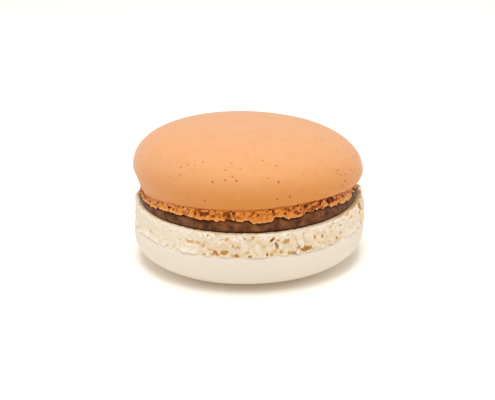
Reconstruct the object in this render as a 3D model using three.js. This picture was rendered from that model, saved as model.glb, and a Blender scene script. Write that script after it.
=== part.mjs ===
// French macaron: two almond meringue shells with a thin layer of ganache between them.
// Both shells are made alike, crown up and flat side down, and the lower one is turned over.
// Millimetres, +Z up. The origin is the middle of the flat spot that the lower crown rests on.
import * as THREE from "three";

// Ganache: a disc with a bulging side, thicker where the upper shell tips up
const GANACHE_DEPTH = 1.8; // on the axis
const GAP = 0.1; // between the ganache and each shell
const UPPER_RISE_X = 0.024; // the upper shell rises a little towards +X
const UPPER_RISE_FRONT = 0.045; // and more towards the front, -Y
const GANACHE_RADIUS = 21.45;
const GANACHE_BULGE = 0.25;
const GANACHE_SEGMENTS = 96;
const GANACHE_ROWS = 5;

// Points round each shell: few on the smooth dome, many on the craggy foot
const DOME_SEGMENTS = 72;
const FOOT_SEGMENTS = 216;
const DOME_ROWS = 9;
const RIM_ROWS = 3;

// The small lip where the smooth skin ends above the foot
const LIP_INSET = 0.3;
const LIP_DROP = 0.2;

// The crumbs of a foot: jitter as a share of their spacing, and the ranges of size and height
const JITTER_ALONG = 0.7;
const JITTER_DOWN = 0.6;
const CRUMB_SIZES = [0.6, 1.3];
const CRUMB_HEIGHTS = [0.3, 1];
const EDGE_START = 0.8; // the lower edge is rounded from here down the foot
const TEETH_START = 0.3; // and its crumbs are drawn down into teeth from here

// The widest place and the crown are measured up from the ledge, the ledge from the flat side
const UPPER = {
  footHeight: 1.6,
  ledgeWaves: [[1, 0.1], [2, -0.5], [4, -0.2]], // [waves round the ledge, height]
  ledgeShift: 0.35,
  ledgeRadius: 21.85,
  rimRadius: 22.35,
  rimHeight: 1.4,
  crownHeight: 10.6,
  crownFlat: 2,
  crownShift: 0.1,
  crownSlope: -0.06, // the dome is thicker at -X
  domePower: 2.46,
  footTopRadius: 21.35,
  footEdgeRadius: 21.9,
  footRows: 6,
  edgeRounding: 0.05,
  flatRadius: 21.8,
  teeth: 1.4, // how far a crumb hangs past the flat side, for each mm it stands out
  crumbs: { rows: 2, columns: 76, size: 1.3, height: 0.55, salt: 3, calm: 0, calmAngle: 0 },
};

const LOWER = {
  footHeight: 4.9,
  ledgeWaves: [],
  ledgeShift: 0,
  ledgeRadius: 22.4,
  rimRadius: 22.5,
  rimHeight: 0.8,
  crownHeight: 7.45,
  crownFlat: 7.85,
  crownShift: 0,
  crownSlope: 0,
  domePower: 2.95,
  footTopRadius: 21.75,
  footEdgeRadius: 21.75,
  footRows: 9,
  edgeRounding: 0.25,
  flatRadius: 21.4,
  teeth: 0,
  crumbs: { rows: 4, columns: 64, size: 1.7, height: 0.75, salt: 11, calm: 0.8, calmAngle: 2.5 },
};

// Heights of the two flat sides above the worktop
const LOWER_FLAT_SIDE = LOWER.footHeight + LOWER.crownHeight;
const UPPER_FLAT_SIDE = LOWER_FLAT_SIDE + GAP + GANACHE_DEPTH + GAP;

// A repeatable draw between 0 and 1 for each number and salt
function draw(number, salt) {
  const wave = Math.sin(number * 12.9898 + salt * 78.233) * 43758.5453;
  return wave - Math.floor(wave);
}

function smoothstep(low, high, value) {
  const t = Math.min(Math.max((value - low) / (high - low), 0), 1);
  return t * t * (3 - 2 * t);
}

function mix(from, to, share) {
  return from + (to - from) * share;
}

// The crumbs of a foot, in rows that are loosely jittered both ways.
// drop is the place down the foot, 0 at the ledge and 1 at the flat side.
function spreadCrumbs({ rows, columns, size, height, salt }) {
  return Array.from({ length: rows * columns }, (_, number) => {
    const row = Math.floor(number / columns);
    const column = number % columns;
    const along = column + 0.5 * (row % 2) + JITTER_ALONG * (draw(number, salt) - 0.5);
    const down = row + 0.5 + JITTER_DOWN * (draw(number, salt + 1) - 0.5);
    return {
      angle: (along / columns) * 2 * Math.PI,
      drop: down / rows,
      radius: size * mix(...CRUMB_SIZES, draw(number, salt + 2)),
      height: height * mix(...CRUMB_HEIGHTS, draw(number, salt + 3)),
    };
  });
}

// How far the foot stands out at a place. Each crumb is a round bump and the highest one counts,
// which leaves creases between them.
function crumbRelief(crumbs, angle, drop, radius, footHeight) {
  let relief = 0;
  for (const crumb of crumbs) {
    const turn = Math.atan2(Math.sin(angle - crumb.angle), Math.cos(angle - crumb.angle));
    const distance = Math.hypot(turn * radius, (drop - crumb.drop) * footHeight) / crumb.radius;
    if (distance < 1) {
      relief = Math.max(relief, crumb.height * (1 - distance ** 2));
    }
  }
  return relief;
}

function ring(segments, pointAt) {
  return Array.from({ length: segments }, (_, k) => pointAt((k / segments) * 2 * Math.PI));
}

// Triangles between two neighbouring rings of point numbers. The rings may differ in length,
// and one of a single point closes the body.
function stitch(upper, lower, triangles) {
  const upperSteps = upper.length > 1 ? upper.length : 0;
  const lowerSteps = lower.length > 1 ? lower.length : 0;
  let i = 0;
  let j = 0;
  while (i < upperSteps || j < lowerSteps) {
    const a = upper[i % upper.length];
    const b = lower[j % lower.length];
    const takeLower = i >= upperSteps || (j < lowerSteps && (j + 1) * upperSteps <= (i + 1) * lowerSteps);
    if (takeLower) {
      j++;
      triangles.push(a, b, lower[j % lower.length]);
    } else {
      i++;
      triangles.push(a, b, upper[i % upper.length]);
    }
  }
}

// A closed body through rings of points, from a single point at the top to one at the bottom
function skin(rings) {
  let count = 0;
  const numbered = rings.map((points) => points.map(() => count++));
  const triangles = [];
  for (let k = 0; k + 1 < numbered.length; k++) {
    stitch(numbered[k], numbered[k + 1], triangles);
  }
  const geometry = new THREE.BufferGeometry();
  geometry.setAttribute("position", new THREE.Float32BufferAttribute(rings.flat(2), 3));
  geometry.setIndex(triangles);
  geometry.computeVertexNormals();
  return geometry;
}

// One shell, crown up, with its flat side at z = 0
function shellGeometry(shell) {
  const ledgeAt = (angle) => {
    const rises = shell.ledgeWaves.map(([waves, rise]) => rise * Math.cos(waves * angle));
    return rises.reduce((sum, rise) => sum + rise, shell.footHeight);
  };

  // The dome's places are blended from the crown's own centre and slope to those of the ledge
  const domePoint = (radius, height, toLedge) => (angle) => {
    const x = radius * Math.cos(angle);
    const base = mix(shell.footHeight + shell.crownSlope * x, ledgeAt(angle), toLedge);
    return [x + mix(shell.crownShift, shell.ledgeShift, toLedge), radius * Math.sin(angle), base + height];
  };
  const rings = [[domePoint(0, shell.crownHeight, 0)(0)]];

  // A superellipse from the crown's flat spot out to the widest place
  for (let row = 0; row <= DOME_ROWS; row++) {
    const turn = ((row / DOME_ROWS) * Math.PI) / 2;
    const out = Math.sin(turn) ** (2 / shell.domePower);
    const up = Math.cos(turn) ** (2 / shell.domePower);
    const radius = mix(shell.crownFlat, shell.rimRadius, out);
    const height = mix(shell.rimHeight, shell.crownHeight, up);
    rings.push(ring(DOME_SEGMENTS, domePoint(radius, height, 0)));
  }

  // A quarter round from there in to the ledge, and the lip under it
  for (let row = 1; row <= RIM_ROWS; row++) {
    const turn = ((row / RIM_ROWS) * Math.PI) / 2;
    const radius = mix(shell.ledgeRadius, shell.rimRadius, Math.cos(turn));
    const height = shell.rimHeight * (1 - Math.sin(turn));
    const segments = row < RIM_ROWS ? DOME_SEGMENTS : FOOT_SEGMENTS;
    rings.push(ring(segments, domePoint(radius, height, Math.sin(turn))));
  }
  rings.push(ring(FOOT_SEGMENTS, domePoint(shell.ledgeRadius - LIP_INSET, -LIP_DROP, 1)));

  // The craggy foot. Its crumbs are fainter, towards the flat side, on the calm side of the shell.
  const crumbs = spreadCrumbs(shell.crumbs);
  const { calm, calmAngle } = shell.crumbs;
  const calmAt = (angle, drop) =>
    calm * smoothstep(0.1, 0.9, Math.cos(angle - calmAngle)) * smoothstep(0.25, 0.6, drop);
  const footPoint = (drop) => (angle) => {
    const stand = crumbRelief(crumbs, angle, drop, shell.ledgeRadius, shell.footHeight);
    const relief = stand * (1 - calmAt(angle, drop));
    const edge = Math.max(0, (drop - EDGE_START) / (1 - EDGE_START));
    const core = mix(shell.footTopRadius, shell.footEdgeRadius, drop);
    const radius = core + relief - shell.edgeRounding * edge ** 2;
    const hang = shell.teeth * relief * smoothstep(TEETH_START, 1, drop);
    const x = radius * Math.cos(angle) + shell.ledgeShift * (1 - drop);
    return [x, radius * Math.sin(angle), (ledgeAt(angle) - LIP_DROP) * (1 - drop) - hang];
  };
  for (let row = 1; row <= shell.footRows; row++) {
    rings.push(ring(FOOT_SEGMENTS, footPoint(row / shell.footRows)));
  }

  // The flat side
  const flatPoint = (angle) => [shell.flatRadius * Math.cos(angle), shell.flatRadius * Math.sin(angle), 0];
  rings.push(ring(DOME_SEGMENTS, flatPoint));
  rings.push([[0, 0, 0]]);
  return skin(rings);
}

// The ganache, from its top face down. The top follows the upper shell's flat side.
function ganacheGeometry() {
  const bottom = LOWER_FLAT_SIDE + GAP;
  const topAt = (x, y) => UPPER_FLAT_SIDE - GAP + UPPER_RISE_X * x - UPPER_RISE_FRONT * y;
  const sidePoint = (drop) => (angle) => {
    const radius = GANACHE_RADIUS + GANACHE_BULGE * Math.sin(Math.PI * drop);
    const x = radius * Math.cos(angle);
    const y = radius * Math.sin(angle);
    return [x, y, mix(topAt(x, y), bottom, drop)];
  };
  const rings = [[[0, 0, topAt(0, 0)]]];
  for (let row = 0; row <= GANACHE_ROWS; row++) {
    rings.push(ring(GANACHE_SEGMENTS, sidePoint(row / GANACHE_ROWS)));
  }
  rings.push([[0, 0, bottom]]);
  return skin(rings);
}

function part(name, geometry, color, roughness) {
  const mesh = new THREE.Mesh(geometry, new THREE.MeshStandardMaterial({ color, roughness, metalness: 0 }));
  mesh.name = name;
  return mesh;
}

const macaron = new THREE.Group();

const lowerShell = part("shell_bottom", shellGeometry(LOWER), 0xf0e0c8, 0.75);
lowerShell.rotation.x = Math.PI;
lowerShell.position.z = LOWER_FLAT_SIDE;
macaron.add(lowerShell);

macaron.add(part("filling", ganacheGeometry(), 0x6e4029, 0.5));

const upperShell = part("shell_top", shellGeometry(UPPER), 0xe9a468, 0.75);
upperShell.rotation.x = -Math.atan(UPPER_RISE_FRONT);
upperShell.rotation.y = -Math.atan(UPPER_RISE_X);
upperShell.position.z = UPPER_FLAT_SIDE;
macaron.add(upperShell);

export default macaron;
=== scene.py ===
import math

import bpy
import numpy as np
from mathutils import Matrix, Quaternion, Vector


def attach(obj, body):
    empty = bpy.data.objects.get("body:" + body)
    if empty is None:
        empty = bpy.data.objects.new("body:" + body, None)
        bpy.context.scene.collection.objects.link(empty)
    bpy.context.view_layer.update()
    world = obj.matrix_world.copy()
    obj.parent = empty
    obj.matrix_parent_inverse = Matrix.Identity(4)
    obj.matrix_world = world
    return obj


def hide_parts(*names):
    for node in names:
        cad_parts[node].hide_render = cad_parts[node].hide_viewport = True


# A french macaron: two almond meringue shells with a thin layer of ganache between them.
# Sizes are in millimetres until each mesh is made, and the row frame is in metres.
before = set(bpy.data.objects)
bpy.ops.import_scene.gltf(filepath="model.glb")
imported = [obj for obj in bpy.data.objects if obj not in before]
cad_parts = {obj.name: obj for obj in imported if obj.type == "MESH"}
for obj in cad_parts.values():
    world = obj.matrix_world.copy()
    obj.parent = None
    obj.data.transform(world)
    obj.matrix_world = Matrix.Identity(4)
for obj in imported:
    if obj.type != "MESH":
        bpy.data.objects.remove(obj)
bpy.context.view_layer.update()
MM = 0.001


# Worktop, camera and light
# The macaron lies on a white acrylic worktop in even white studio light, so that the only shadow
# is the soft warm one round its foot. The worktop is given a faint warm glow, painted light that
# lightens and warms that shadow. The camera looks down at 20 degrees.
PICTURE_WIDTH = 495
FOCAL_PIXELS = 1635.3
SENSOR_WIDTH = 36
CAMERA_AT = Vector((0, -300.91, 121.87))
CAMERA_AIM = Vector((-0.199, -0.632, 11.253))
CAMERA_ROLL = 0.946
WORKTOP_SIDE = 3000
WORKTOP_COLOUR = (0.87, 0.86, 0.83, 1)
# Painted light: the worktop's faint warm glow, which lightens and warms the shadow round the foot
WORKTOP_PAINTED_GLOW = (0.12, 0.09, 0.055, 1)
SKY_LIGHT = 0.58
SOFTBOX_AIM = Vector((0, 0, 15))
# The softboxes: name, place, width and watts
SOFTBOXES = [
    ("softbox_front", (-10, -200, 370), 200, 0.56),
    ("softbox_above", (0, 20, 420), 320, 1.08),
    ("softbox_left", (-320, -40, 110), 200, 0.12),
    ("softbox_right", (320, -40, 110), 200, 0.12),
]


def add_camera():
    data = bpy.data.cameras.new("camera")
    data.sensor_fit = "HORIZONTAL"
    data.sensor_width = SENSOR_WIDTH
    data.lens = FOCAL_PIXELS / PICTURE_WIDTH * SENSOR_WIDTH
    data.clip_start = 0.01
    camera = bpy.data.objects.new("camera", data)
    camera.location = CAMERA_AT * MM
    level = (CAMERA_AIM - CAMERA_AT).to_track_quat("-Z", "Y")
    camera.rotation_mode = "QUATERNION"
    camera.rotation_quaternion = level @ Quaternion((0, 0, 1), math.radians(-CAMERA_ROLL))
    bpy.context.scene.collection.objects.link(camera)
    bpy.context.scene.camera = camera


def add_softbox(name, place, width, watts):
    data = bpy.data.lights.new(name, "AREA")
    data.shape = "DISK"
    data.size = width * MM
    data.energy = watts
    softbox = bpy.data.objects.new(name, data)
    softbox.location = Vector(place) * MM
    softbox.rotation_mode = "QUATERNION"
    softbox.rotation_quaternion = (SOFTBOX_AIM - Vector(place)).to_track_quat("-Z", "Y")
    bpy.context.scene.collection.objects.link(softbox)


def new_material(name):
    """A material with an empty node tree, its Principled shader and its output."""
    material = bpy.data.materials.new(name)
    material.use_nodes = True
    nodes = material.node_tree.nodes
    nodes.clear()
    output = nodes.new("ShaderNodeOutputMaterial")
    shader = nodes.new("ShaderNodeBsdfPrincipled")
    material.node_tree.links.new(shader.outputs["BSDF"], output.inputs["Surface"])
    return material, shader


def give(tree, socket, value):
    """Sets a socket to a plain value or links another socket to it."""
    if isinstance(value, (int, float)):
        socket.default_value = value
    else:
        tree.links.new(value, socket)


def add_bump(tree, shader, height, strength, distance):
    bump = tree.nodes.new("ShaderNodeBump")
    bump.inputs["Strength"].default_value = strength
    bump.inputs["Distance"].default_value = distance * MM
    tree.links.new(height, bump.inputs["Height"])
    tree.links.new(bump.outputs["Normal"], shader.inputs["Normal"])


def worktop_paint():
    material, shader = new_material("white_worktop")
    tree = material.node_tree
    shader.inputs["Base Color"].default_value = WORKTOP_COLOUR
    shader.inputs["Roughness"].default_value = 0.9
    shader.inputs["Specular IOR Level"].default_value = 0.1
    # Painted light: a faint warm glow that lightens and warms the shadow round the macaron's foot
    shader.inputs["Emission Color"].default_value = WORKTOP_PAINTED_GLOW
    shader.inputs["Emission Strength"].default_value = 1
    grain = tree.nodes.new("ShaderNodeTexNoise")
    grain.inputs["Scale"].default_value = 900
    add_bump(tree, shader, grain.outputs["Fac"], 0.03, 0.05)
    return material


add_camera()
half = WORKTOP_SIDE / 2 * MM
worktop_mesh = bpy.data.meshes.new("worktop")
worktop_corners = [(-half, -half, 0), (half, -half, 0), (half, half, 0), (-half, half, 0)]
worktop_mesh.from_pydata(worktop_corners, [], [(0, 1, 2, 3)])
worktop_mesh.materials.append(worktop_paint())
worktop = bpy.data.objects.new("worktop", worktop_mesh)
bpy.context.scene.collection.objects.link(worktop)

world = bpy.data.worlds.new("white_studio")
world.use_nodes = True
world.node_tree.nodes["Background"].inputs["Color"].default_value = (1, 1, 1, 1)
world.node_tree.nodes["Background"].inputs["Strength"].default_value = SKY_LIGHT
bpy.context.scene.world = world
bpy.context.scene.view_settings.view_transform = "Standard"
for name, place, width, watts in SOFTBOXES:
    add_softbox(name, place, width, watts)


# Lower shell
# A round of almond meringue, piped, dried and baked, then turned over. Its smooth skin was the top
# in the oven and now rests on the worktop, and above it stands the tall craggy foot on which the
# shell rose. It is modelled crown up with its flat side at zero, and turned over at the end.
LOWER = {
    "foot_height": 4.9,
    "ledge_waves": [],
    "ledge_shift": 0,
    "ledge_radius": 22.4,
    "rim_radius": 22.5,
    "rim_height": 0.8,
    "crown_height": 7.45,
    "crown_flat": 7.85,
    "crown_shift": 0,
    "crown_slope": 0,
    "dome_power": 2.95,
    "foot_top_radius": 21.75,
    "foot_edge_radius": 21.75,
    "edge_rounding": 0.25,
    "lip_inset": 0.25,
    "lip_drop": 0.15,
    "side_tuck": 0,
    "skin_spacing": 0.45,
    "skin_steps": 440,
    "inner_radius": 20.75,
    "outer_radius": 23.1,
    "below": 0.35,
    "lumps": {"rows": 4, "columns": 64, "size": 1.7, "height": 0.75, "salt": 11, "power": 3},
    "push": (0.25, 0.9, 24),
    "knobs": [(0.72, 1.9, 27), (0.26, 0.8, 28)],
    "grain": [(0.1, 2.4, 21), (0.035, 0.36, 22)],
    "folds": (1.9, 0.2, 29),
    "waves": [(0.05, 6, 41), (0.012, 1.4, 42)],
    "fold_depth": 0.3,
    "sink": 0.42,
    "halo": 0.3,
}
LOWER_FLAT_SIDE = LOWER["foot_height"] + LOWER["crown_height"]
LUMP_JITTER_ALONG = 0.7
LUMP_JITTER_DOWN = 0.6
LUMP_SIZES = (0.6, 1.3)
LUMP_HEIGHTS = (0.3, 1)
EDGE_START = 0.8
# Swells that bend and fray both feet: strength, size and salt of each
BEND_ALONG = [(0.3, 1.3, 5), (0.12, 0.55, 6)]
BEND_UP = [(0.3, 1.2, 7), (0.12, 0.5, 8)]
BEND_OUT = [(0.12, 0.7, 9)]
RAGGED = [(0.18, 0.7, 10), (0.12, 0.33, 12)]

# The feet are worked out on a grid: its steps round the shell, and its spacing up and outwards
FOOT_STEPS = 1000
FOOT_SPACING = 0.14
CROWN_SHEEN_FROM = 8
LIP_FADE = (0.05, 0.3)
CALM_LESS_SHADE = 0.12
FAINT = 0.02
SOFTENING_ROUNDS = 7
# How many of the most points a ring has, by its least radius
RING_SHARES = [(12, 1), (6, 0.5), (2.5, 0.25), (0.01, 0.1)]
FLAT_RINGS = (0.92, 0.5, 0.25, 0)


def draw(number, salt):
    """A repeatable draw between 0 and 1 for each number and salt."""
    wave = np.sin(number * 12.9898 + salt * 78.233) * 43758.5453
    return wave - np.floor(wave)


def smoothstep(low, high, value):
    t = np.clip((value - low) / (high - low), 0, 1)
    return t * t * (3 - 2 * t)


def mix(start, end, share):
    return start + (end - start) * share


def cells_and_parts(x, y, z, grain):
    """The cubes of one grain that hold the places, and how far across its cube each lies."""
    cells, parts = [], []
    for value in (x, y, z):
        whole = np.floor(value / grain)
        cells.append(whole.astype(np.int32))
        parts.append((value / grain - whole).astype(np.float32))
    return cells, parts


def swell(x, y, z, grain, salt):
    """Smooth noise from -1 to 1 whose swells are about one grain across."""
    size = 64
    lattice = np.random.default_rng(salt).uniform(-1, 1, (size, size, size)).astype(np.float32)
    cells, parts = cells_and_parts(x, y, z, grain)
    parts = [part * part * (3 - 2 * part) for part in parts]
    total = 0
    for a in (0, 1):
        for b in (0, 1):
            for c in (0, 1):
                weight = 1
                for corner, part in zip((a, b, c), parts):
                    weight = weight * (part if corner else 1 - part)
                corners = lattice[
                    (cells[0] + a) % size, (cells[1] + b) % size, (cells[2] + c) % size
                ]
                total = total + weight * corners
    return total


def knobs(x, y, z, grain, salt):
    """Rounded knobs about one grain apart: 1 on their tops, falling to 0 in the gaps."""
    size = 48
    spots = np.random.default_rng(salt).uniform(0, 1, (size, size, size, 3)).astype(np.float32)
    cells, parts = cells_and_parts(x, y, z, grain)
    nearest = np.full(parts[0].shape, 9, np.float32)
    for a in (-1, 0, 1):
        for b in (-1, 0, 1):
            for c in (-1, 0, 1):
                spot = spots[(cells[0] + a) % size, (cells[1] + b) % size, (cells[2] + c) % size]
                away = (spot[..., 0] + a - parts[0]) ** 2
                away += (spot[..., 1] + b - parts[1]) ** 2
                away += (spot[..., 2] + c - parts[2]) ** 2
                nearest = np.minimum(nearest, away)
    return np.clip(1 - nearest, 0, 1)


def layers(noise, x, y, z, terms):
    """A sum of noises, one for each strength, grain and salt."""
    return sum(strength * noise(x, y, z, grain, salt) for strength, grain, salt in terms)


def pushed(x, y, z, strength, grain, salt):
    """The places pushed about by swells, with its own salt for each direction."""
    return [
        value + strength * swell(x, y, z, grain, salt + number)
        for number, value in enumerate((x, y, z))
    ]


def cracks(x, y, z, grain, width, salt):
    """Thin winding cracks: 1 along them and 0 away from them, and only in some places."""
    line = abs(swell(x, y, z, grain, salt))
    somewhere = smoothstep(-0.15, 0.3, swell(x, y, z, 2.1 * grain, salt + 100))
    return smoothstep(width, 0, line) * somewhere


def ledge_height(shell, angle):
    rise = sum(rise * np.cos(waves * angle) for waves, rise in shell["ledge_waves"])
    return shell["foot_height"] + rise + 0 * angle


def lumps_of(shell):
    """The main lumps of a foot, in rows that are loosely jittered both ways."""
    rule = shell["lumps"]
    number = np.arange(rule["rows"] * rule["columns"])
    row = number // rule["columns"]
    column = number % rule["columns"]
    along = column + 0.5 * (row % 2) + LUMP_JITTER_ALONG * (draw(number, rule["salt"]) - 0.5)
    down = row + 0.5 + LUMP_JITTER_DOWN * (draw(number, rule["salt"] + 1) - 0.5)
    angle = along / rule["columns"] * 2 * math.pi
    drop = down / rule["rows"]
    radius = rule["size"] * mix(*LUMP_SIZES, draw(number, rule["salt"] + 2))
    height = rule["height"] * mix(*LUMP_HEIGHTS, draw(number, rule["salt"] + 3))
    return list(zip(angle, drop, radius, height))


def turn_between(angle, other):
    return np.arctan2(np.sin(angle - other), np.cos(angle - other))


def column_at(angle):
    return int(angle / (2 * math.pi) * FOOT_STEPS) % FOOT_STEPS


def stand_of(grid, wall, angle, height):
    """The radius of a foot's wall at one angle and height."""
    column = column_at(angle)
    row = int(np.argmin(abs(grid["heights"][column] - height)))
    return float(wall[column, row, len(grid["radii"]) // 2])


def window(heights, angle, height, reach, radius):
    """The grid places near a spot: their numbers round the shell and a slice of rows."""
    steps = int(reach / radius / (2 * math.pi) * FOOT_STEPS) + 2
    middle = int(round(angle / (2 * math.pi) * FOOT_STEPS))
    around = np.arange(middle - steps, middle + steps + 1) % FOOT_STEPS
    column = heights[middle % FOOT_STEPS]
    rows = np.nonzero((column > height - reach) & (column < height + reach))[0]
    if len(rows) == 0:
        return None
    return around, slice(rows[0], rows[-1] + 1)


def spread_out(mask, within):
    """The part of a mask that hangs together with its seeds, in a grid that closes on itself."""
    grown = mask & within
    while True:
        wider = grown | np.roll(grown, 1, 0) | np.roll(grown, -1, 0)
        wider[:, 1:] |= grown[:, :-1]
        wider[:, :-1] |= grown[:, 1:]
        wider[:, :, 1:] |= grown[:, :, :-1]
        wider[:, :, :-1] |= grown[:, :, 1:]
        wider &= within
        if wider.sum() == grown.sum():
            return grown
        grown = wider


def soften(values, rounds):
    """Blurs a grid that closes on itself in its first direction."""
    for _ in range(rounds):
        values = 0.5 * values + 0.25 * (np.roll(values, 1, 0) + np.roll(values, -1, 0))
        padded = np.pad(values, ((0, 0), (1, 1), (0, 0)), "edge")
        values = 0.5 * values + 0.25 * (padded[:, :-2] + padded[:, 2:])
        padded = np.pad(values, ((0, 0), (0, 0), (1, 1)), "edge")
        values = 0.5 * values + 0.25 * (padded[:, :, :-2] + padded[:, :, 2:])
    return values


def foot_field(shell, character):
    """The foot as a grid of signed sizes, less than zero inside the meringue.

    The grid goes round the shell, up from below the flat side to the lip, and outwards.
    character adds what this shell's foot has of its own: it sets the marks and returns the field.
    """
    angles = np.arange(FOOT_STEPS) / FOOT_STEPS * 2 * math.pi
    planes_below = int(round(shell["below"] / FOOT_SPACING)) + 1
    planes_above = int(round((shell["foot_height"] - shell["lip_drop"]) / FOOT_SPACING)) + 1
    step = np.arange(planes_below + planes_above) - planes_below + 0.5
    top = ledge_height(shell, angles) - shell["lip_drop"]
    rise = np.where(step > 0, 1, 0) * (top[:, None] / step[-1])
    heights = np.where(step > 0, step * rise, step * FOOT_SPACING)
    count = int((shell["outer_radius"] - shell["inner_radius"]) / FOOT_SPACING) + 1
    radii = shell["inner_radius"] + FOOT_SPACING * np.arange(count)

    angle = angles[:, None, None]
    height = heights[:, :, None]
    radius = radii[None, None, :]
    x = radius * np.cos(angle) + 0 * height
    y = radius * np.sin(angle) + 0 * height
    z = height + 0 * x
    grid = {
        "heights": heights,
        "radii": radii,
        "top": top,
        "planes_below": planes_below,
        "angle": angle + layers(swell, x, y, z, BEND_ALONG) / shell["ledge_radius"],
        "height": z + layers(swell, x, y, z, BEND_UP),
        "radius": radius + layers(swell, x, y, z, BEND_OUT),
        "true_height": z,
        "x": x,
        "y": y,
        "ragged": layers(swell, x, y, z, RAGGED),
        "tint": np.zeros(x.shape, np.float32),
        "calm": np.zeros(x.shape, np.float32),
    }

    drop = np.clip(1 - z / top[:, None, None], 0, 1)
    relief = np.zeros(x.shape)
    power = shell["lumps"]["power"]
    for lump_angle, lump_drop, size, stand in lumps_of(shell):
        middle = int(round(lump_angle / (2 * math.pi) * FOOT_STEPS)) % FOOT_STEPS
        lump_height = top[middle] * (1 - lump_drop)
        place = window(heights, lump_angle, lump_height, size + 0.5, shell["ledge_radius"])
        if place is None:
            continue
        around, rows = place
        along = turn_between(grid["angle"][around, rows], lump_angle) * shell["ledge_radius"]
        up = grid["height"][around, rows] - lump_height
        share = np.clip(np.hypot(along, up) / size, 0, 1)
        relief[around, rows] = np.maximum(relief[around, rows], stand * (1 - share**power))
    grid["relief"] = relief
    grid["drop"] = drop

    edge = np.clip((drop - EDGE_START) / (1 - EDGE_START), 0, 1)
    core = mix(shell["foot_top_radius"], shell["foot_edge_radius"], drop)
    grid["wall"] = core - shell["edge_rounding"] * edge**2
    grid["field"] = character(shell, grid)

    # Plain walls where the foot meets the lip and, inside, the flat side, and open air outside
    lip = shell["ledge_radius"] - shell["lip_inset"]
    grid["field"][:, -2:] = (radius - lip + 0 * z)[:, -2:]
    grid["field"][:, :, :2] = -z[:, :, :2]
    grid["field"][:, :, -1] = np.maximum(grid["field"][:, :, -1], FAINT)

    # Loose scraps and sealed bubbles go
    inside = grid["field"] < 0
    seeds = np.zeros(inside.shape, bool)
    seeds[:, -1, 0] = True
    whole = spread_out(seeds, inside)
    seeds = np.zeros(inside.shape, bool)
    seeds[:, :, -1] = True
    open_air = spread_out(seeds, ~whole)
    grid["field"] = np.where(inside & ~whole, FAINT, grid["field"])
    grid["field"] = np.where(~inside & ~open_air, -FAINT, grid["field"])
    return grid


def foot_surface(shell, grid):
    """Surface of the foot's field: points, four-sided faces, the two open edges, and the marks."""
    field = grid["field"]
    steps, planes, shafts = field.shape
    cells = (steps, planes - 1, shafts - 1)

    def corner(offset):
        a, b, c = offset
        turned = np.roll(field, -a, 0)
        return turned[:, b : planes - 1 + b, c : shafts - 1 + c]

    total = np.zeros(cells + (3,))
    crossings = np.zeros(cells, int)
    for axis in range(3):
        others = [other for other in range(3) if other != axis]
        for p in (0, 1):
            for q in (0, 1):
                start_offset = [0, 0, 0]
                start_offset[others[0]] = p
                start_offset[others[1]] = q
                end_offset = list(start_offset)
                end_offset[axis] = 1
                start = corner(start_offset)
                end = corner(end_offset)
                crosses = (start < 0) != (end < 0)
                span = np.where(crosses, start - end, 1)
                total[..., axis] += np.where(crosses, start / span, 0)
                total[..., others[0]] += p * crosses
                total[..., others[1]] += q * crosses
                crossings += crosses
    filled = crossings > 0
    number = np.full(cells, -1)
    number[filled] = np.arange(filled.sum())
    i, j, k = np.nonzero(filled)
    shift = total[filled] / crossings[filled][:, None]

    # From steps, rows and shafts to angle, height and radius
    along = i + shift[:, 0]
    angle = along / steps * 2 * math.pi
    row = j + shift[:, 1]
    step = row - grid["planes_below"] + 0.5
    last_step = planes - 1 - grid["planes_below"] + 0.5
    top = ledge_height(shell, angle) - shell["lip_drop"]
    height = np.where(step > 0, step * top / last_step, step * FOOT_SPACING)
    radius = shell["inner_radius"] + FOOT_SPACING * (k + shift[:, 2])
    drop = np.clip(1 - height / top, 0, 1)
    x = radius * np.cos(angle) * (1 - shell["side_tuck"]) + shell["ledge_shift"] * (1 - drop)
    points = np.stack([x, radius * np.sin(angle), height], 1)

    faces = []
    inside = field < 0
    back = np.roll(number, 1, 0)

    def add_faces(near, far, flipped, *ring):
        for leaves, flip in ((near & ~far, flipped), (~near & far, not flipped)):
            quads = np.stack([corners[leaves] for corners in ring], 1)
            faces.append(quads[:, ::-1] if flip else quads)

    near, far = inside[:, 1:-1, 1:-1], np.roll(inside, -1, 0)[:, 1:-1, 1:-1]
    low, high = number[:, :-1], number[:, 1:]
    add_faces(near, far, False, low[..., :-1], high[..., :-1], high[..., 1:], low[..., 1:])
    near, far = inside[:, :-1, 1:-1], inside[:, 1:, 1:-1]
    add_faces(near, far, True, back[..., :-1], number[..., :-1], number[..., 1:], back[..., 1:])
    near, far = inside[:, 1:-1, :-1], inside[:, 1:-1, 1:]
    add_faces(near, far, False, back[:, :-1], number[:, :-1], number[:, 1:], back[:, 1:])
    quads = np.concatenate(faces)

    lip_depth = shell["ledge_radius"] - shell["lip_inset"] - shell["inner_radius"]
    lip_ring = number[:, planes - 2, int(lip_depth / FOOT_SPACING)]
    flat_ring = number[:, grid["planes_below"] - 1, 0]
    if lip_ring.min() < 0 or flat_ring.min() < 0:
        raise ValueError("the foot's open edges aren't whole")

    # The closeness mark, how enclosed each place is, drives painted shade in creases and painted
    # light on open lumps; the calm stretches get less of the painted shade
    solid = soften((field < 0).astype(np.float32), SOFTENING_ROUNDS)
    marks = {
        "closeness": solid[i, j, k] - CALM_LESS_SHADE * grid["calm"][i, j, k],
        "tint": grid["tint"][i, j, k],
        "foot": smoothstep(*LIP_FADE, top - height),
    }
    return points, quads, lip_ring, flat_ring, marks


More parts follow.
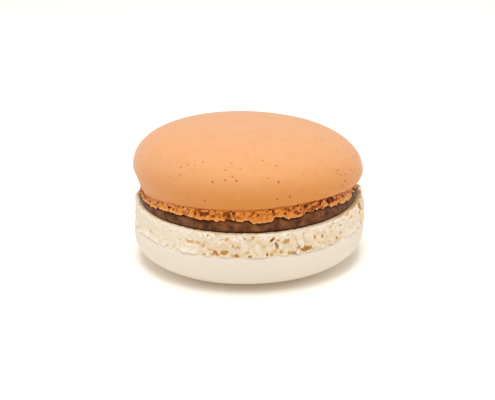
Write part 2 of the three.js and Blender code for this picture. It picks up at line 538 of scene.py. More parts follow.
def skin_profile(shell):
    """The smooth skin's outline from the crown to just above the foot, evenly stepped.

    Each row is a radius, a height above the ledge, and how far it follows the ledge's own line.
    """
    turn = np.linspace(0, math.pi / 2, 400)
    share = 2 / shell["dome_power"]
    out = np.sin(turn) ** share
    up = np.clip(np.cos(turn), 0, 1) ** share
    dome_radius = mix(shell["crown_flat"], shell["rim_radius"], out)
    dome_height = mix(shell["rim_height"], shell["crown_height"], up)
    crown_radius = np.linspace(0, shell["crown_flat"], 100)[:-1]
    crown_height = np.full(crown_radius.shape, shell["crown_height"])
    under = turn / turn[-1]
    rim_radius = mix(shell["rim_radius"], shell["ledge_radius"], under**2)
    rim_height = shell["rim_height"] * (1 - under)
    radius = np.concatenate([crown_radius, dome_radius, rim_radius])
    height = np.concatenate([crown_height, dome_height, rim_height])
    follow = np.concatenate([0 * crown_radius, 0 * dome_radius, smoothstep(0, 1, under)])
    length = np.concatenate([[0], np.cumsum(np.hypot(np.diff(radius), np.diff(height)))])
    places = np.linspace(0, length[-1], int(length[-1] / shell["skin_spacing"]) + 1)
    return [np.interp(places, length, values) for values in (radius, height, follow)]


def stitch(upper, lower, triangles):
    """Triangles between neighbouring rings of point numbers, of which one may be longer."""
    upper_steps = len(upper) if len(upper) > 1 else 0
    lower_steps = len(lower) if len(lower) > 1 else 0
    i = 0
    j = 0
    while i < upper_steps or j < lower_steps:
        a = upper[i % len(upper)]
        b = lower[j % len(lower)]
        behind = (j + 1) * upper_steps <= (i + 1) * lower_steps
        if i >= upper_steps or (j < lower_steps and behind):
            j += 1
            triangles.append((a, b, lower[j % len(lower)]))
        else:
            i += 1
            triangles.append((a, b, upper[i % len(upper)]))


def ring_angles(radius, most):
    """The angles of a ring's points: the most on wide rings, a single one in the middle."""
    steps = next((int(most * share) for least, share in RING_SHARES if radius >= least), 1)
    return np.arange(steps) / steps * 2 * math.pi


def add_ring(points, rings, x, y, z):
    start = sum(len(ring) for ring in points)
    points.append(np.stack([x, y, z], 1))
    rings.append(list(range(start, start + len(x))))


def shell_mesh(name, shell, character, skin_character):
    """One closed mesh of a whole shell, crown up, with its marks as attributes."""
    grid = foot_field(shell, character)
    foot_points, quads, lip_ring, flat_ring, foot_marks = foot_surface(shell, grid)
    points = [foot_points]
    triangles = []
    rings = []
    for radius, height, follow in zip(*skin_profile(shell)):
        angle = ring_angles(radius, shell["skin_steps"])
        across = radius * np.cos(angle)
        crown_base = shell["foot_height"] + shell["crown_slope"] * across
        base = mix(crown_base, ledge_height(shell, angle), follow)
        tuck = shell["side_tuck"] * smoothstep(shell["rim_height"] + 1, 0, height)
        x = across * (1 - tuck) + mix(shell["crown_shift"], shell["ledge_shift"], follow)
        add_ring(points, rings, x, radius * np.sin(angle), base + height)
    for upper, lower in zip(rings, rings[1:]):
        stitch(upper, lower, triangles)
    stitch(rings[-1], lip_ring.tolist(), triangles)

    # The flat side, from the foot's inner edge to the middle
    flat_rings = [flat_ring.tolist()]
    for share in FLAT_RINGS:
        radius = share * shell["inner_radius"]
        angle = ring_angles(radius, shell["skin_steps"])
        x = radius * np.cos(angle) * (1 - shell["side_tuck"])
        add_ring(points, flat_rings, x, radius * np.sin(angle), 0 * angle)
    for upper, lower in zip(flat_rings, flat_rings[1:]):
        stitch(upper, lower, triangles)

    places = np.concatenate(points)
    marks = {}
    for key, values in foot_marks.items():
        marks[key] = np.zeros(len(places), np.float32)
        marks[key][: len(foot_points)] = values
    marks["pore"] = np.zeros(len(places), np.float32)
    # Painted sheen: the crown mark makes the caramel skin paler towards the crown
    marks["crown"] = smoothstep(0, CROWN_SHEEN_FROM, places[:, 2] - shell["foot_height"])
    skin = np.arange(len(foot_points), rings[-1][-1] + 1)
    skin_character(shell, places, marks, skin)

    mesh = bpy.data.meshes.new(name)
    mesh.from_pydata((places * MM).tolist(), [], triangles + quads.tolist())
    for key, values in marks.items():
        attribute = mesh.attributes.new(key, "FLOAT", "POINT")
        attribute.data.foreach_set("value", values.astype(np.float32))
    mesh.shade_smooth()
    return mesh


def move_mesh(mesh, turn, rise):
    """Turns a mesh's points about the middle of its flat side and lifts them."""
    places = np.empty(len(mesh.vertices) * 3, np.float32)
    mesh.vertices.foreach_get("co", places)
    places = places.reshape(-1, 3) @ np.array(turn).T + (0, 0, rise * MM)
    mesh.vertices.foreach_set("co", places.astype(np.float32).ravel())
    mesh.update()


def press_pockets(shell, grid, field, wall, pockets):
    """Burst bubbles: each takes a ragged bite out of the foot and marks how brown it is.

    The brown reaches past the bite by the shell's halo, and is deepest far inside the wall: there
    it is painted shade as well as browning.
    """
    for angle, height, radius, size, stretch, brown in pockets:
        reach = size * stretch + 0.5
        place = window(grid["heights"], angle, height, reach, shell["ledge_radius"])
        if place is None:
            continue
        around, rows = place
        along = turn_between(grid["angle"][around, rows], angle) * radius / stretch
        up = grid["height"][around, rows] - height
        out = (grid["radius"] - radius)[around, rows]
        distance = np.sqrt(along**2 + up**2 + out**2) + grid["ragged"][around, rows]
        field[around, rows] = np.maximum(field[around, rows], size - distance)
        depth = wall[around, rows] - grid["radius"][around, rows]
        mark = smoothstep(1.2 * size + shell["halo"], 0.9 * size, distance)
        # Browning that darkens with depth into the wall: painted shade as well as browning
        mark = brown * mark * mix(0.3, 1, smoothstep(0.0, 0.9 * size, depth))
        grid["tint"][around, rows] = np.maximum(grid["tint"][around, rows], mark)


def over_stretch(turned, begins, full, fades, ends):
    """1 over a stretch of angles in degrees, falling to 0 at both its ends."""
    return smoothstep(begins, full, turned) * (1 - smoothstep(fades, ends, turned))


def lower_calm(world_angle):
    """How smooth the lower foot is: nearly a plain wall at the front left and at the right."""
    turned = np.degrees(world_angle) % 360
    return np.maximum(over_stretch(turned, *CALM_LEFT), 0.8 * over_stretch(turned, *CALM_RIGHT))


# The pockets that the front shows: angle seen from above, height, size, stretch along, brownness
FRONT_POCKETS = [
    (211.0, 3.2, 0.3, 2.0, 0.35), (224.7, 3.4, 0.26, 1.0, 0.6), (233.5, 2.4, 0.2, 2.0, 0.25),
    (239.5, 2.4, 0.28, 2.6, 0.45), (243.8, 2.3, 0.26, 2.4, 0.5), (247.5, 2.7, 0.3, 2.4, 0.6),
    (247.8, 4.2, 0.16, 1.4, 0.7), (251.0, 3.1, 0.28, 2.0, 0.6), (251.5, 4.2, 0.18, 1.8, 0.7),
    (253.3, 3.7, 0.32, 1.5, 0.9), (255.0, 4.0, 0.2, 1.6, 0.9), (259.9, 0.9, 0.26, 1.4, 0.6),
    (262.9, 2.0, 0.24, 1.3, 0.7), (258.4, 3.7, 0.46, 1.9, 0.95), (264.6, 4.3, 0.26, 1.2, 0.9),
    (270.3, 4.3, 0.42, 1.0, 0.9), (273.5, 0.5, 0.2, 1.6, 0.4), (276.8, 2.4, 0.22, 1.2, 0.5),
    (278.6, 3.9, 0.5, 0.5, 0.6), (281.2, 0.9, 0.46, 0.9, 1.0), (282.8, 2.4, 0.72, 0.45, 0.8),
    (285.4, 3.6, 0.4, 1.2, 0.55), (288.3, 1.7, 0.5, 1.4, 0.7), (291.4, 4.1, 0.4, 2.6, 0.6),
    (298.0, 3.6, 0.5, 2.0, 0.9), (303.0, 1.9, 0.26, 0.9, 0.95), (307.2, 2.1, 0.42, 1.3, 0.8),
    (321.3, 3.1, 0.3, 1.6, 0.4), (313.7, 4.6, 0.4, 1.0, 0.8), (328.5, 0.4, 0.45, 1.8, 0.4),
]
# The calm stretches in degrees seen from above, and what is left there of the foot's relief
CALM_LEFT = (165, 190, 238, 254)
CALM_RIGHT = (316, 324, 340, 350)
CALM_LUMPS = 0.12
CALM_KNOBS = 0.08
CALM_FOLDS = 0.3
CALM_RISE = 0.46
FRONT_FROM, FRONT_TO = 215, 335
FRONT_LARGEST = 0.24
FOLD_BROWN_AND_SHADE = 0.1
LOWER_POCKETS = 520
LOWER_POCKET_SIZES = (0.14, 0.6)
LUMP_LIMIT = 22.9


def lower_character(shell, grid):
    """Broad flattened lumps with browned pockets between them, darkest in their depths as painted
    shade, and two calm stretches.
    """
    calm = lower_calm(-grid["angle"])
    x, y, z = grid["x"], grid["y"], grid["true_height"]
    drop = grid["drop"]
    smoothing = calm * smoothstep(0.05, 0.3, drop)
    grid["calm"] = smoothing
    knobbly = layers(knobs, *pushed(x, y, z, *shell["push"]), shell["knobs"])
    grain = layers(swell, x, y, z, shell["grain"])
    relief = mix(0.85, CALM_LUMPS, smoothing) * grid["relief"] + grain
    relief = relief + knobbly * mix(1, CALM_KNOBS, smoothing) - shell["sink"]
    folds = cracks(x, y, 1.3 * z, *shell["folds"])
    relief = relief - shell["fold_depth"] * folds * mix(1, CALM_FOLDS, smoothing)
    wall = np.minimum(grid["wall"] + relief + CALM_RISE * smoothing, LUMP_LIMIT)
    turned = np.degrees(-grid["angle"]) % 360
    at_right = smoothstep(315, 330, turned) + smoothstep(35, 20, turned)
    stain = smoothstep(22.5, 21.7, grid["radius"]) * (z < 0.16) * (1 + 3 * grain)
    stain = stain * mix(0.25, 0.5, at_right)
    # The fold colour is browning and painted shade; the stain by the ganache is a real stain
    grid["tint"] = (FOLD_BROWN_AND_SHADE * folds + stain).astype(np.float32)
    outside = grid["radius"] - wall
    below = -z - 0.08 * swell(x, y, z, 0.7, 23)
    field = np.maximum(outside, below)

    pockets = []
    for turned, height, size, stretch, brown in FRONT_POCKETS:
        angle = math.radians(-turned) % (2 * math.pi)
        radius = stand_of(grid, wall, angle, height) - 0.3 * size
        pockets.append((angle, height, radius, size, stretch, brown))
    for number in range(LOWER_POCKETS):
        angle = 2 * math.pi * draw(number, 31)
        turned = -math.degrees(angle) % 360
        drop = mix(0.02, 0.3, draw(number, 33))
        if draw(number, 32) > 0.5:
            drop = mix(0.3, 0.95, draw(number, 33))
        size = mix(*LOWER_POCKET_SIZES, draw(number, 35) ** 2.2)
        quiet = float(lower_calm(-angle))
        left_out = size > FRONT_LARGEST or draw(number, 39) < 0.5
        if draw(number, 34) < quiet or (FRONT_FROM < turned < FRONT_TO and left_out):
            continue
        height = grid["top"][column_at(angle)] * (1 - drop)
        radius = stand_of(grid, wall, angle, height) - size * mix(-0.1, 0.5, draw(number, 36))
        stretch = mix(0.8, 2.1, draw(number, 37))
        brown = mix(0.2, 1, draw(number, 38)) * (1 - 0.6 * quiet)
        pockets.append((angle, height, radius, size, stretch, brown))
    press_pockets(shell, grid, field, wall, pockets)
    return field


def skin_normals(shell, places, skin):
    """Roughly outward directions on a shell's skin."""
    middle = np.array([0, 0, shell["foot_height"] - 6])
    outward = places[skin] - middle
    outward[:, :2] *= 0.8
    return outward / np.linalg.norm(outward, axis=1)[:, None]


def plain_skin(shell, places, marks, skin):
    """A smooth skin with faint broad swells."""
    outward = skin_normals(shell, places, skin)
    x, y, z = places[skin].T
    wave = layers(swell, x, y, z, shell["waves"])
    fade = smoothstep(0.02, 0.6, shell["foot_height"] + shell["crown_height"] - z)
    places[skin] += outward * (wave * fade)[:, None]


def noise_texture(tree, place, scale, detail, roughness=0.5):
    node = tree.nodes.new("ShaderNodeTexNoise")
    tree.links.new(place.outputs["Object"], node.inputs["Vector"])
    node.inputs["Detail"].default_value = detail
    node.inputs["Roughness"].default_value = roughness
    give(tree, node.inputs["Scale"], scale)
    return node.outputs["Fac"]


# Among these colours, the paler crown colour is painted sheen, the crumb top colour painted light
# on open lumps, the crease and pocket colours browning with painted shade, the pore colour painted
# shade in pinholes, and the pimple colour also the painted highlight along the lip
MERINGUE_COLOURS = [
    "Skin", "Skin Crown", "Skin Fleck", "Crumb", "Crumb Top", "Crease", "Pocket Rim", "Pocket",
    "Pore", "Pimple",
]
MERINGUE_SIZES = [("Closeness From", 0.55), ("Closeness To", 0.8), ("Grain Size", 1500)]


def meringue_group():
    """Node group: the colour and the fine relief of baked meringue, skin and foot, with painted
    light and shade in its colours.
    """
    tree = bpy.data.node_groups.new("meringue", "ShaderNodeTree")
    new_socket = tree.interface.new_socket
    for name in MERINGUE_COLOURS:
        new_socket(name=name, in_out="INPUT", socket_type="NodeSocketColor")
    for name, value in MERINGUE_SIZES:
        socket = new_socket(name=name, in_out="INPUT", socket_type="NodeSocketFloat")
        socket.default_value = value
    for name, kind in (("Color", "NodeSocketColor"), ("Height", "NodeSocketFloat")):
        new_socket(name=name, in_out="OUTPUT", socket_type=kind)
    nodes = tree.nodes
    links = tree.links
    given = nodes.new("NodeGroupInput")
    result = nodes.new("NodeGroupOutput")
    place = nodes.new("ShaderNodeTexCoord")

    def mark(name):
        node = nodes.new("ShaderNodeAttribute")
        node.attribute_name = name
        return node.outputs["Fac"]

    def noise(scale, detail):
        return noise_texture(tree, place, scale, detail)

    def ramp(value, low, high):
        node = nodes.new("ShaderNodeMapRange")
        node.interpolation_type = "SMOOTHSTEP"
        links.new(value, node.inputs["Value"])
        give(tree, node.inputs["From Min"], low)
        give(tree, node.inputs["From Max"], high)
        return node.outputs["Result"]

    def blend(share, first, second):
        node = nodes.new("ShaderNodeMix")
        node.data_type = "RGBA"
        links.new(share, node.inputs["Factor"])
        links.new(first, node.inputs["A"])
        links.new(second, node.inputs["B"])
        return node.outputs["Result"]

    def combine(operation, first, second):
        node = nodes.new("ShaderNodeMath")
        node.operation = operation
        give(tree, node.inputs[0], first)
        give(tree, node.inputs[1], second)
        return node.outputs["Value"]

    def times(first, second):
        return combine("MULTIPLY", first, second)

    def plus(first, second):
        return combine("ADD", first, second)

    grain = given.outputs["Grain Size"]
    fleck = times(ramp(noise(420, 4.0), 0.42, 0.68), ramp(noise(grain, 3.0), 0.35, 0.65))
    # Painted sheen: the skin turns paler towards the crown
    skin = blend(mark("crown"), given.outputs["Skin"], given.outputs["Skin Crown"])
    skin = blend(times(fleck, 0.5), skin, given.outputs["Skin Fleck"])
    # Pimples are paler, and so is the lip, a painted highlight
    skin = blend(ramp(mark("pore"), -0.05, -0.6), skin, given.outputs["Pimple"])
    # Painted shade: the pinholes are coloured dark
    skin = blend(ramp(mark("pore"), 0.05, 0.7), skin, given.outputs["Pore"])
    # Painted light on open crumb tops and painted shade in creases, with some real tan browning in
    # the creases
    closeness = plus(mark("closeness"), times(noise(grain, 3.0), 0.06))
    open_from = given.outputs["Closeness From"]
    on_top = ramp(closeness, open_from, 0.25)
    crumb = blend(on_top, given.outputs["Crumb"], given.outputs["Crumb Top"])
    in_crease = ramp(closeness, open_from, given.outputs["Closeness To"])
    crumb = blend(in_crease, crumb, given.outputs["Crease"])
    # Pockets and folds: real browning, darkened with depth as painted shade
    browned_and_shaded = plus(mark("tint"), times(noise(1100, 3.0), 0.3))
    crumb = blend(ramp(browned_and_shaded, 0.2, 0.5), crumb, given.outputs["Pocket Rim"])
    crumb = blend(ramp(browned_and_shaded, 0.5, 1.0), crumb, given.outputs["Pocket"])
    foot = mark("foot")
    colour = blend(foot, skin, crumb)
    links.new(colour, result.inputs["Color"])
    skin_height = times(noise(times(grain, 2.2), 4.0), 0.35)
    crumb_height = noise(times(grain, 1.6), 5.0)
    height_blend = nodes.new("ShaderNodeMix")
    links.new(foot, height_blend.inputs["Factor"])
    links.new(skin_height, height_blend.inputs["A"])
    links.new(crumb_height, height_blend.inputs["B"])
    links.new(height_blend.outputs["Result"], result.inputs["Height"])
    return tree


def baked_meringue(name, group, colours, closeness, roughness, sheen):
    """A meringue finish: the shared group with one shell's own colours."""
    material, shader = new_material(name)
    tree = material.node_tree
    baked = tree.nodes.new("ShaderNodeGroup")
    baked.node_tree = group
    for socket, colour in colours.items():
        baked.inputs[socket].default_value = (*colour, 1)
    baked.inputs["Closeness From"].default_value = closeness[0]
    baked.inputs["Closeness To"].default_value = closeness[1]
    tree.links.new(baked.outputs["Color"], shader.inputs["Base Color"])
    add_bump(tree, shader, baked.outputs["Height"], 0.6, 0.06)
    shader.inputs["Roughness"].default_value = roughness
    shader.inputs["Specular IOR Level"].default_value = 0.38
    shader.inputs["Specular Tint"].default_value = (*colours["Skin"], 1)
    shader.inputs["Sheen Weight"].default_value = sheen
    shader.inputs["Sheen Roughness"].default_value = 0.5
    return material


def add_piece(name, mesh, node):
    piece = bpy.data.objects.new(name, mesh)
    bpy.context.scene.collection.objects.link(piece)
    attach(piece, "root")
    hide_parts(node)


# The crumb top colour is painted light on open lumps, and the crease and pocket colours are tan
# browning with painted shade
CREAM = {
    "Skin": (0.74, 0.655, 0.555),
    "Skin Crown": (0.74, 0.655, 0.555),
    "Skin Fleck": (0.73, 0.64, 0.52),
    "Crumb": (0.73, 0.615, 0.475),
    "Crumb Top": (0.86, 0.79, 0.70),
    "Crease": (0.72, 0.53, 0.30),
    "Pocket Rim": (0.76, 0.54, 0.28),
    "Pocket": (0.54, 0.28, 0.09),
    "Pore": (0.70, 0.55, 0.36),
    "Pimple": (0.92, 0.83, 0.70),
}
CREAM_CLOSENESS = (0.56, 0.82)
meringue = meringue_group()
lower_mesh = shell_mesh("cream_shell", LOWER, lower_character, plain_skin)
move_mesh(lower_mesh, np.diag((1, -1, -1)), LOWER_FLAT_SIDE)
lower_mesh.materials.append(
    baked_meringue("cream_meringue", meringue, CREAM, CREAM_CLOSENESS, 0.75, 0.1)
)
add_piece("cream_shell", lower_mesh, "shell_bottom")


# Upper shell
# The second shell, coloured and flavoured with caramel, crown up. It was pressed down a little
# askew, so it leans back and left. Its skin ends in a thin lip over a low foot, whose crumbs hang
# past its flat side as uneven teeth over the ganache.
UPPER = {
    "foot_height": 1.6,
    "ledge_waves": [(1, 0.1), (2, -0.5), (4, -0.2)],
    "ledge_shift": 0.35,
    "ledge_radius": 21.85,
    "rim_radius": 22.35,
    "rim_height": 1.4,
    "crown_height": 10.6,
    "crown_flat": 2,
    "crown_shift": 0.1,
    "crown_slope": -0.06,
    "dome_power": 2.46,
    "foot_top_radius": 21.7,
    "foot_edge_radius": 21.9,
    "edge_rounding": 0.05,
    "lip_inset": 0.08,
    "lip_drop": 0.1,
    "side_tuck": 0.035,
    "skin_spacing": 0.26,
    "skin_steps": 640,
    "inner_radius": 20.75,
    "outer_radius": 22.9,
    "below": 1.3,
    "lumps": {"rows": 2, "columns": 76, "size": 1.3, "height": 0.55, "salt": 3, "power": 2},
    "push": (0.16, 0.6, 75),
    "knobs": [(0.34, 1.05, 78), (0.15, 0.5, 79)],
    "grain": [(0.05, 0.3, 72)],
    "folds": (1.0, 0.28, 94),
    "waves": [(0.05, 6, 43), (0.012, 1.4, 44)],
    "fold_depth": 0.32,
    "sink": 0.16,
    "halo": 0.04,
}
GANACHE_DEPTH = 1.8
GAP = 0.1
UPPER_FLAT_SIDE = LOWER_FLAT_SIDE + GAP + GANACHE_DEPTH + GAP
UPPER_RISE_X = 0.024
UPPER_RISE_FRONT = 0.045
UPPER_CALM = (195, 212, 232, 242)
TOOTH_INNER_RADIUS = 21.55
TOOTH_LONGEST = 1.15
TOOTH_EDGE = [(0.2, 0.55, 73), (0.12, 0.28, 74)]
DRAWN_TEETH = 26
UPPER_PITS = 200
UPPER_PIT_SIZES = (0.1, 0.19)
UPPER_HOLLOWS = 170
UPPER_HOLLOW_SIZES = (0.12, 0.34)


# The deepest hollows that the front shows: angle seen from above, height, size, stretch along
FRONT_HOLLOWS = [
    (215.5, 0.75, 0.22, 1.2), (236.5, 0.95, 0.2, 0.8), (245.0, 0.75, 0.38, 1.3),
    (248.6, 1.0, 0.36, 1.6), (258.6, 0.75, 0.44, 1.6), (261.8, 1.05, 0.32, 1.5),
    (264.5, 0.5, 0.24, 0.8), (271.5, 0.95, 0.22, 1.5), (276.5, 1.2, 0.2, 1.2),
    (281.5, 0.9, 0.24, 1.4), (288.0, 1.1, 0.2, 1.2), (296.4, 0.8, 0.26, 1.1),
    (299.0, 1.3, 0.34, 1.5), (303.5, 0.5, 0.24, 1.6), (308.0, 1.25, 0.22, 1.2),
    (314.8, 1.0, 0.6, 2.2), (325.0, 0.7, 0.26, 1.6),
]
# The longest teeth that the front shows: angle seen from above, how far they hang, half width
FRONT_TEETH = [
    (212.5, 0.2, 3.0), (245.5, 0.36, 5.0), (253.0, 0.22, 3.5), (265.0, 0.25, 5.0),
    (276.0, 0.78, 7.0), (292.6, 0.62, 6.2), (318.5, 0.35, 4.0), (331.0, 0.75, 9.0),
]


def teeth_of(angle):
    """How far the teeth hang at each angle: broad ones, some of them placed, others drawn."""
    turned = np.degrees(angle) % 360
    hang = 0 * turned
    teeth = list(FRONT_TEETH)
    for number in range(DRAWN_TEETH):
        spot = 340 + 9.0 * number + 5 * draw(number, 91)
        reach = mix(0.1, 0.7, draw(number, 92))
        if spot < 570:
            teeth.append((spot % 360, reach, mix(3, 7, draw(number, 93))))
    for spot, reach, half_width in teeth:
        away = abs((turned - spot + 180) % 360 - 180) / half_width
        hang = np.maximum(hang, reach * np.clip(1 - away**4, 0, 1))
    return hang


def upper_character(shell, grid):
    """Small lumps and pits under the lip, deep crevices now and then, and teeth at the edge."""
    x, y, z = grid["x"], grid["y"], grid["true_height"]
    knobbly = layers(knobs, *pushed(x, y, z, *shell["push"]), shell["knobs"])
    grain = layers(swell, x, y, z, shell["grain"])
    at_side = np.cos(grid["angle"]) ** 4
    turned = np.degrees(grid["angle"]) % 360
    relief = (0.5 * grid["relief"] + knobbly + grain) * (1 - 0.45 * at_side) - shell["sink"]
    calm = over_stretch(turned, *UPPER_CALM)
    grid["calm"] = calm + 0 * z
    folds = cracks(x, y, z, *shell["folds"]) * (1 - 0.6 * calm)
    under_lip = smoothstep(0.0, 0.22, grid["drop"])
    wall = grid["wall"] + (relief - shell["fold_depth"] * folds) * under_lip
    # The cracks are coloured dark: browning and painted shade in them
    grid["tint"] = (0.6 * folds * under_lip).astype(np.float32)
    outside = grid["radius"] - wall
    ragged = layers(swell, x, y, 0.5 * z, TOOTH_EDGE)
    edge_knobs = 0.3 * knobs(x, y, 0 * z, 0.9, 80) - 0.12
    hang = np.clip(teeth_of(grid["angle"]) + edge_knobs + ragged, -0.25, TOOTH_LONGEST)
    hang = np.where(grid["radius"] > TOOTH_INNER_RADIUS, hang, 0)
    field = np.maximum(outside, -z - hang)

    pockets = []
    # The deepest hollows are coloured near black: painted shade with some browning
    for turned, height, size, stretch in FRONT_HOLLOWS:
        angle = math.radians(turned)
        radius = stand_of(grid, wall, angle, height) - 0.3 * size
        pockets.append((angle, height, radius, size, stretch, 1.6))
    for number in range(UPPER_PITS):
        angle = 2 * math.pi * (number + 0.8 * draw(number, 81)) / UPPER_PITS
        size = mix(*UPPER_PIT_SIZES, draw(number, 82))
        height = grid["top"][column_at(angle)] - mix(0.2, 0.6, draw(number, 83))
        radius = stand_of(grid, wall, angle, height)
        pockets.append((angle, height, radius, size, mix(0.8, 1.4, draw(number, 84)), 1.1))
    for number in range(UPPER_HOLLOWS):
        angle = 2 * math.pi * (number + 0.9 * draw(number, 85)) / UPPER_HOLLOWS
        size = mix(*UPPER_HOLLOW_SIZES, draw(number, 86) ** 1.8)
        height = grid["top"][column_at(angle)] * mix(0.0, 0.75, draw(number, 87))
        radius = stand_of(grid, wall, angle, height) - 0.25 * size
        pockets.append((angle, height, radius, size, mix(0.9, 2.0, draw(number, 88)), 1.0))
    press_pockets(shell, grid, field, wall, pockets)
    return field


# The pinholes and pimples that the front shows: angle seen from above, height above the ledge
FRONT_PINHOLES = [
    (224.4, 2.0), (228.9, 5.1), (233.3, 6.9), (234.9, 5.7), (236.4, 7.3), (240.2, 2.9),
    (240.6, 7.3), (244.5, 7.8), (249.3, 1.6), (252.8, 5.1), (258.6, 6.9), (259.2, 5.3),
    (261.1, 7.8), (262.6, 5.9), (264.6, 5.3), (266.6, 7.0), (270.3, 1.7), (275.8, 9.2),
    (280.0, 7.8), (280.1, 5.2), (283.5, 1.5), (285.4, 4.5), (286.5, 6.8), (289.8, 1.7),
    (296.3, 2.6), (299.5, 5.0), (312.7, 1.5),
]
FRONT_PIMPLES = [
    (234.4, 6.2), (239.9, 4.3), (243.6, 6.9), (247.8, 3.6), (250.8, 4.4), (252.2, 9.2),
    (265.2, 6.5), (265.7, 2.4), (271.6, 6.5), (272.8, 4.9), (275.7, 8.3), (276.6, 6.5),
    (283.8, 5.8), (285.1, 3.6), (292.4, 4.8), (296.7, 5.4),
]
# All other pinholes and pimples are drawn, away from the stretch where they are placed
PORES_DRAWN = 950
PORE_SALT = 56
PORE_SIZES = (0.07, 0.13)
PORE_DEPTHS = (0.08, 0.15)
PORE_STRENGTHS = (0.65, 1)
PORE_REACH = 0.75
PORE_PULL = 1.9
PORE_GROUPS = -0.05
PLACED_FROM, PLACED_TO = 218, 318
PIMPLE_SHARE = 0.55
PIMPLE_STAND = 0.03
PIMPLE_STRENGTH = -0.5
LIP_HIGHLIGHT = -0.35


def press_pores(shell, places, marks, skin, outward):
    """Pinholes in the skin where small bubbles burst, and between them tiny pimples.

    The skin's points near each one are first drawn together, so that it comes out round.
    """
    turned = np.arctan2(places[skin, 1], places[skin, 0])
    above = places[skin, 2] - ledge_height(shell, turned)
    spots = [(math.radians(degrees), height, False) for degrees, height in FRONT_PINHOLES]
    spots += [(math.radians(degrees), height, True) for degrees, height in FRONT_PIMPLES]
    placed = len(spots)
    for number in range(PORES_DRAWN):
        angle = 2 * math.pi * draw(number, PORE_SALT)
        height = mix(1.2, shell["crown_height"] - 0.7, draw(number, PORE_SALT + 1) ** 1.5)
        if not PLACED_FROM < math.degrees(angle) < PLACED_TO:
            spots.append((angle, height, draw(number, PORE_SALT + 2) < PIMPLE_SHARE))
    for number, (angle, height, pimple) in enumerate(spots):
        radius = np.interp(
            height, [0, shell["crown_height"]], [shell["rim_radius"], shell["crown_flat"]]
        )
        near = np.hypot(abs(turn_between(turned, angle)) * radius, above - height)
        centre = places[skin[int(np.argmin(near))]].copy()
        rim = shell["foot_height"] + shell["crown_slope"] * centre[0] + shell["rim_height"]
        lonely = swell(*centre[:, None], 5, PORE_SALT)[0] < PORE_GROUPS
        if number >= placed and (lonely or centre[2] < rim):
            continue
        away = places[skin] - centre
        distance = np.linalg.norm(away, axis=1)
        ring = np.nonzero(distance < PORE_REACH)[0]
        if abs(marks["pore"][skin[ring]]).max() > 0:
            continue
        pulled = (distance[ring] / PORE_REACH) ** (PORE_PULL - 1)
        places[skin[ring]] = centre + away[ring] * pulled[:, None]
        distance = distance[ring] * pulled
        size = mix(*PORE_SIZES, draw(number, PORE_SALT + 3))
        stand = -mix(*PORE_DEPTHS, draw(number, PORE_SALT + 4))
        strength = mix(*PORE_STRENGTHS, draw(number, PORE_SALT + 5))
        if pimple:
            stand = PIMPLE_STAND
            strength = PIMPLE_STRENGTH
        share = smoothstep(1.3 * size, 0.5 * size, distance)
        places[skin[ring]] += outward[ring] * (stand * share)[:, None]
        marks["pore"][skin[ring]] = strength * share


def pored_skin(shell, places, marks, skin):
    """A smooth dome with faint swells, a painted highlight along the lip, many pinholes and some
    pimples.
    """
    outward = skin_normals(shell, places, skin)
    x, y, z = places[skin].T
    wave = layers(swell, x, y, z, shell["waves"])
    places[skin] += outward * wave[:, None]
    above = places[skin, 2] - ledge_height(shell, np.arctan2(y, x))
    # Painted highlight: a pale band along the lip, just above the ledge
    marks["pore"][skin] = LIP_HIGHLIGHT * smoothstep(0.3, 0.0, above)
    press_pores(shell, places, marks, skin, outward)


# The paler crown colour is painted sheen and the crumb top colour painted light on open lumps; the
# crease and pocket colours are browning with painted shade, the pore colour painted shade in
# pinholes, and the pimple colour also the painted highlight along the lip
CARAMEL = {
    "Skin": (0.61, 0.228, 0.048),
    "Skin Crown": (0.64, 0.305, 0.130),
    "Skin Fleck": (0.60, 0.245, 0.070),
    "Crumb": (0.64, 0.215, 0.034),
    "Crumb Top": (0.80, 0.33, 0.065),
    "Crease": (0.36, 0.080, 0.003),
    "Pocket Rim": (0.36, 0.075, 0.003),
    "Pocket": (0.08, 0.009, 0.0),
    "Pore": (0.17, 0.022, 0.0),
    "Pimple": (0.82, 0.36, 0.11),
}
CARAMEL_CLOSENESS = (0.56, 0.76)
upper_mesh = shell_mesh("caramel_shell", UPPER, upper_character, pored_skin)
turn_front = Quaternion((1, 0, 0), -math.atan(UPPER_RISE_FRONT))
turn_side = Quaternion((0, 1, 0), -math.atan(UPPER_RISE_X))
move_mesh(upper_mesh, (turn_front @ turn_side).to_matrix(), UPPER_FLAT_SIDE)
upper_mesh.materials.append(
    baked_meringue("caramel_meringue", meringue, CARAMEL, CARAMEL_CLOSENESS, 0.6, 0.26)
)
add_piece("caramel_shell", upper_mesh, "shell_top")


# Ganache
# A thin disc of set chocolate ganache, squeezed out level with the shells as they were pressed
# together. Its side bulges a little and is smooth but for faint mottling, and it sticks to both.
# Its side is painted darker under the teeth of the upper shell and along its bottom edge: painted
# shadow.
GANACHE_RADIUS = 21.45
GANACHE_BULGE = 0.25
GANACHE_PRESS = 0.12
GANACHE_TUCK = 0.15
GANACHE_SIDE_TUCK = 0.02
GANACHE_STEPS = 720
GANACHE_ROWS = 24
GANACHE_FLAT_RINGS = (0, 10, 18)
GANACHE_WAVES = [(0.09, 2.6, 61), (0.03, 0.8, 62)]


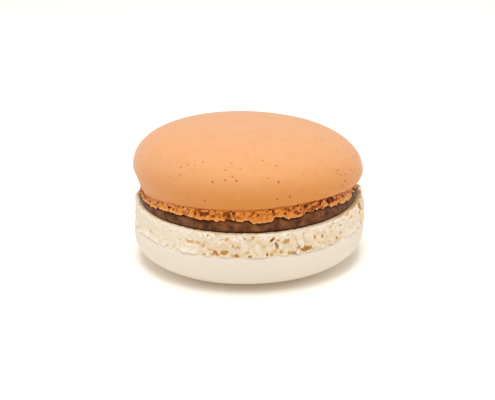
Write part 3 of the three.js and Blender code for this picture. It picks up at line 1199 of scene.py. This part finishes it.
def ganache_mesh():
    low = LOWER_FLAT_SIDE + GAP - GANACHE_PRESS
    points = []
    shade_values = []
    rings = []

    def top_at(x, y):
        return UPPER_FLAT_SIDE - GAP + GANACHE_PRESS + UPPER_RISE_X * x - UPPER_RISE_FRONT * y

    for radius in GANACHE_FLAT_RINGS:
        turn = ring_angles(radius, GANACHE_STEPS)
        x = radius * np.cos(turn)
        y = radius * np.sin(turn)
        add_ring(points, rings, x, y, top_at(x, y))
        shade_values.append(0 * x)
    angle = ring_angles(GANACHE_RADIUS, GANACHE_STEPS)
    for row in range(GANACHE_ROWS + 1):
        down = row / GANACHE_ROWS
        bead = 1 - abs(2 * down - 1) ** 3
        radius = GANACHE_RADIUS - GANACHE_TUCK + (GANACHE_BULGE + GANACHE_TUCK) * bead
        x = radius * np.cos(angle) * (1 - GANACHE_SIDE_TUCK)
        y = radius * np.sin(angle)
        z = mix(top_at(x, y), low, down)
        wave = layers(swell, x, y, z, GANACHE_WAVES) * math.sin(math.pi * down)
        add_ring(points, rings, x + wave * np.cos(angle), y + wave * np.sin(angle), z)
        # Painted shadow: the side darkens just under the teeth and along the bottom edge, where
        # shade falls
        under_teeth = top_at(x, y) - z - teeth_of(angle)
        moist = np.maximum(smoothstep(0.7, 0.3, under_teeth), smoothstep(0.4, 0.18, z - low - 0.1))
        shade_values.append(moist)
    for radius in GANACHE_FLAT_RINGS[::-1]:
        turn = ring_angles(radius, GANACHE_STEPS)
        add_ring(points, rings, radius * np.cos(turn), radius * np.sin(turn), 0 * turn + low)
        shade_values.append(0 * turn)
    triangles = []
    for upper, lower in zip(rings, rings[1:]):
        stitch(upper, lower, triangles)
    mesh = bpy.data.meshes.new("ganache")
    mesh.from_pydata((np.concatenate(points) * MM).tolist(), [], triangles)
    attribute = mesh.attributes.new("moist", "FLOAT", "POINT")
    attribute.data.foreach_set("value", np.concatenate(shade_values).astype(np.float32))
    mesh.shade_smooth()
    return mesh


def ganache_finish():
    material, shader = new_material("chocolate_ganache")
    tree = material.node_tree
    place = tree.nodes.new("ShaderNodeTexCoord")
    mottle = noise_texture(tree, place, 520, 7, 0.68)
    shades = tree.nodes.new("ShaderNodeValToRGB")
    shades.color_ramp.elements[0].position = 0.38
    shades.color_ramp.elements[0].color = (0.06, 0.014, 0.002, 1)
    shades.color_ramp.elements[1].position = 0.66
    shades.color_ramp.elements[1].color = (0.25, 0.090, 0.030, 1)
    tree.links.new(mottle, shades.inputs["Fac"])
    # Painted shadow: the side is near black where the painted shadow mark is high
    moist = tree.nodes.new("ShaderNodeAttribute")
    moist.attribute_name = "moist"
    darker = tree.nodes.new("ShaderNodeMix")
    darker.data_type = "RGBA"
    tree.links.new(moist.outputs["Fac"], darker.inputs["Factor"])
    tree.links.new(shades.outputs["Color"], darker.inputs["A"])
    darker.inputs["B"].default_value = (0.045, 0.008, 0.001, 1)
    tree.links.new(darker.outputs["Result"], shader.inputs["Base Color"])
    add_bump(tree, shader, noise_texture(tree, place, 3000, 4), 0.7, 0.08)
    shader.inputs["Roughness"].default_value = 0.6
    shader.inputs["Specular IOR Level"].default_value = 0.16
    return material


ganache = ganache_mesh()
ganache.materials.append(ganache_finish())
add_piece("ganache", ganache, "filling")
